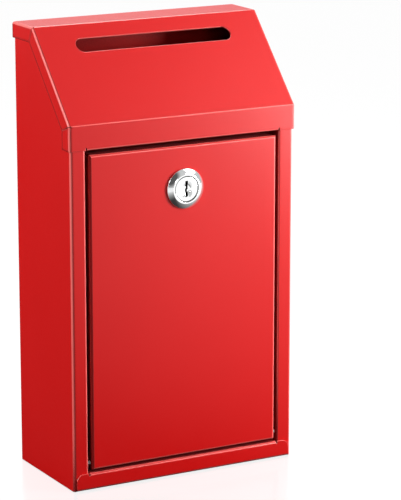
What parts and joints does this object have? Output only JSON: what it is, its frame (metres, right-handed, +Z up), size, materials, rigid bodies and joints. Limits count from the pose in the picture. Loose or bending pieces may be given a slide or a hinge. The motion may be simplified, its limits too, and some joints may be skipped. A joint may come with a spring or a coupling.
{
  "type": "lockable drop box",
  "caption": "Folded sheet-metal drop box with a deposit slot in its sloped hood, a flap door hinged along its lower edge, and a keyed cam lock that hooks behind the frame.",
  "frame": {"origin": "middle of the underside of the body", "axes": "+Z up, +Y towards the wall behind it, door and slope towards -Y, +X to the right seen from the front"},
  "size_m": [0.152, 0.0778, 0.2735],
  "materials": {
    "red_coat": "semi-gloss powder coat",
    "lock_chrome": "polished",
    "zinc_plate": "bright zinc",
    "wafer_brass": "plain",
    "spring_steel": "plain"
  },
  "bodies": {
    "box": {"body_shell": "red_coat", "base_tray": "red_coat", "hood": "red_coat", "left_pivot_pin": "zinc_plate", "right_pivot_pin": "zinc_plate"},
    "door": {"door_panel": "red_coat", "lock_housing": "lock_chrome", "lock_washer": "zinc_plate", "lock_nut": "zinc_plate"},
    "lock_core": {"lock_plug": "lock_chrome", "stop_washer": "zinc_plate", "cam": "zinc_plate", "cam_spring_washer": "spring_steel", "cam_screw": "zinc_plate", "wafer_spring_1": "spring_steel", "wafer_spring_2": "spring_steel", "wafer_spring_3": "spring_steel", "wafer_spring_4": "spring_steel"},
    "tumbler_1": {"wafer_1": "wafer_brass"},
    "tumbler_2": {"wafer_2": "wafer_brass"},
    "tumbler_3": {"wafer_3": "wafer_brass"},
    "tumbler_4": {"wafer_4": "wafer_brass"}
  },
  "joints": [
    {"name": "door_hinge", "type": "hinge", "parent": "box", "child": "door", "pos_m": [0, -0.034, 0.016], "axis": [1, 0, 0], "range_deg": [0, 92]},
    {"name": "key_turn", "type": "hinge", "parent": "door", "child": "lock_core", "pos_m": [0, -0.038, 0.178], "axis": [0, 1, 0], "range_deg": [0, 180]},
    {"name": "wafer_slide_1", "type": "slide", "parent": "lock_core", "child": "tumbler_1", "axis": [0, 0, 1], "range_m": [0, 0.0008], "deforming": ["wafer_spring_1"]},
    {"name": "wafer_slide_2", "type": "slide", "parent": "lock_core", "child": "tumbler_2", "axis": [0, 0, 1], "range_m": [0, 0.0008], "deforming": ["wafer_spring_2"]},
    {"name": "wafer_slide_3", "type": "slide", "parent": "lock_core", "child": "tumbler_3", "axis": [0, 0, 1], "range_m": [0, 0.0008], "deforming": ["wafer_spring_3"]},
    {"name": "wafer_slide_4", "type": "slide", "parent": "lock_core", "child": "tumbler_4", "axis": [0, 0, 1], "range_m": [0, 0.0008], "deforming": ["wafer_spring_4"]}
  ]
}
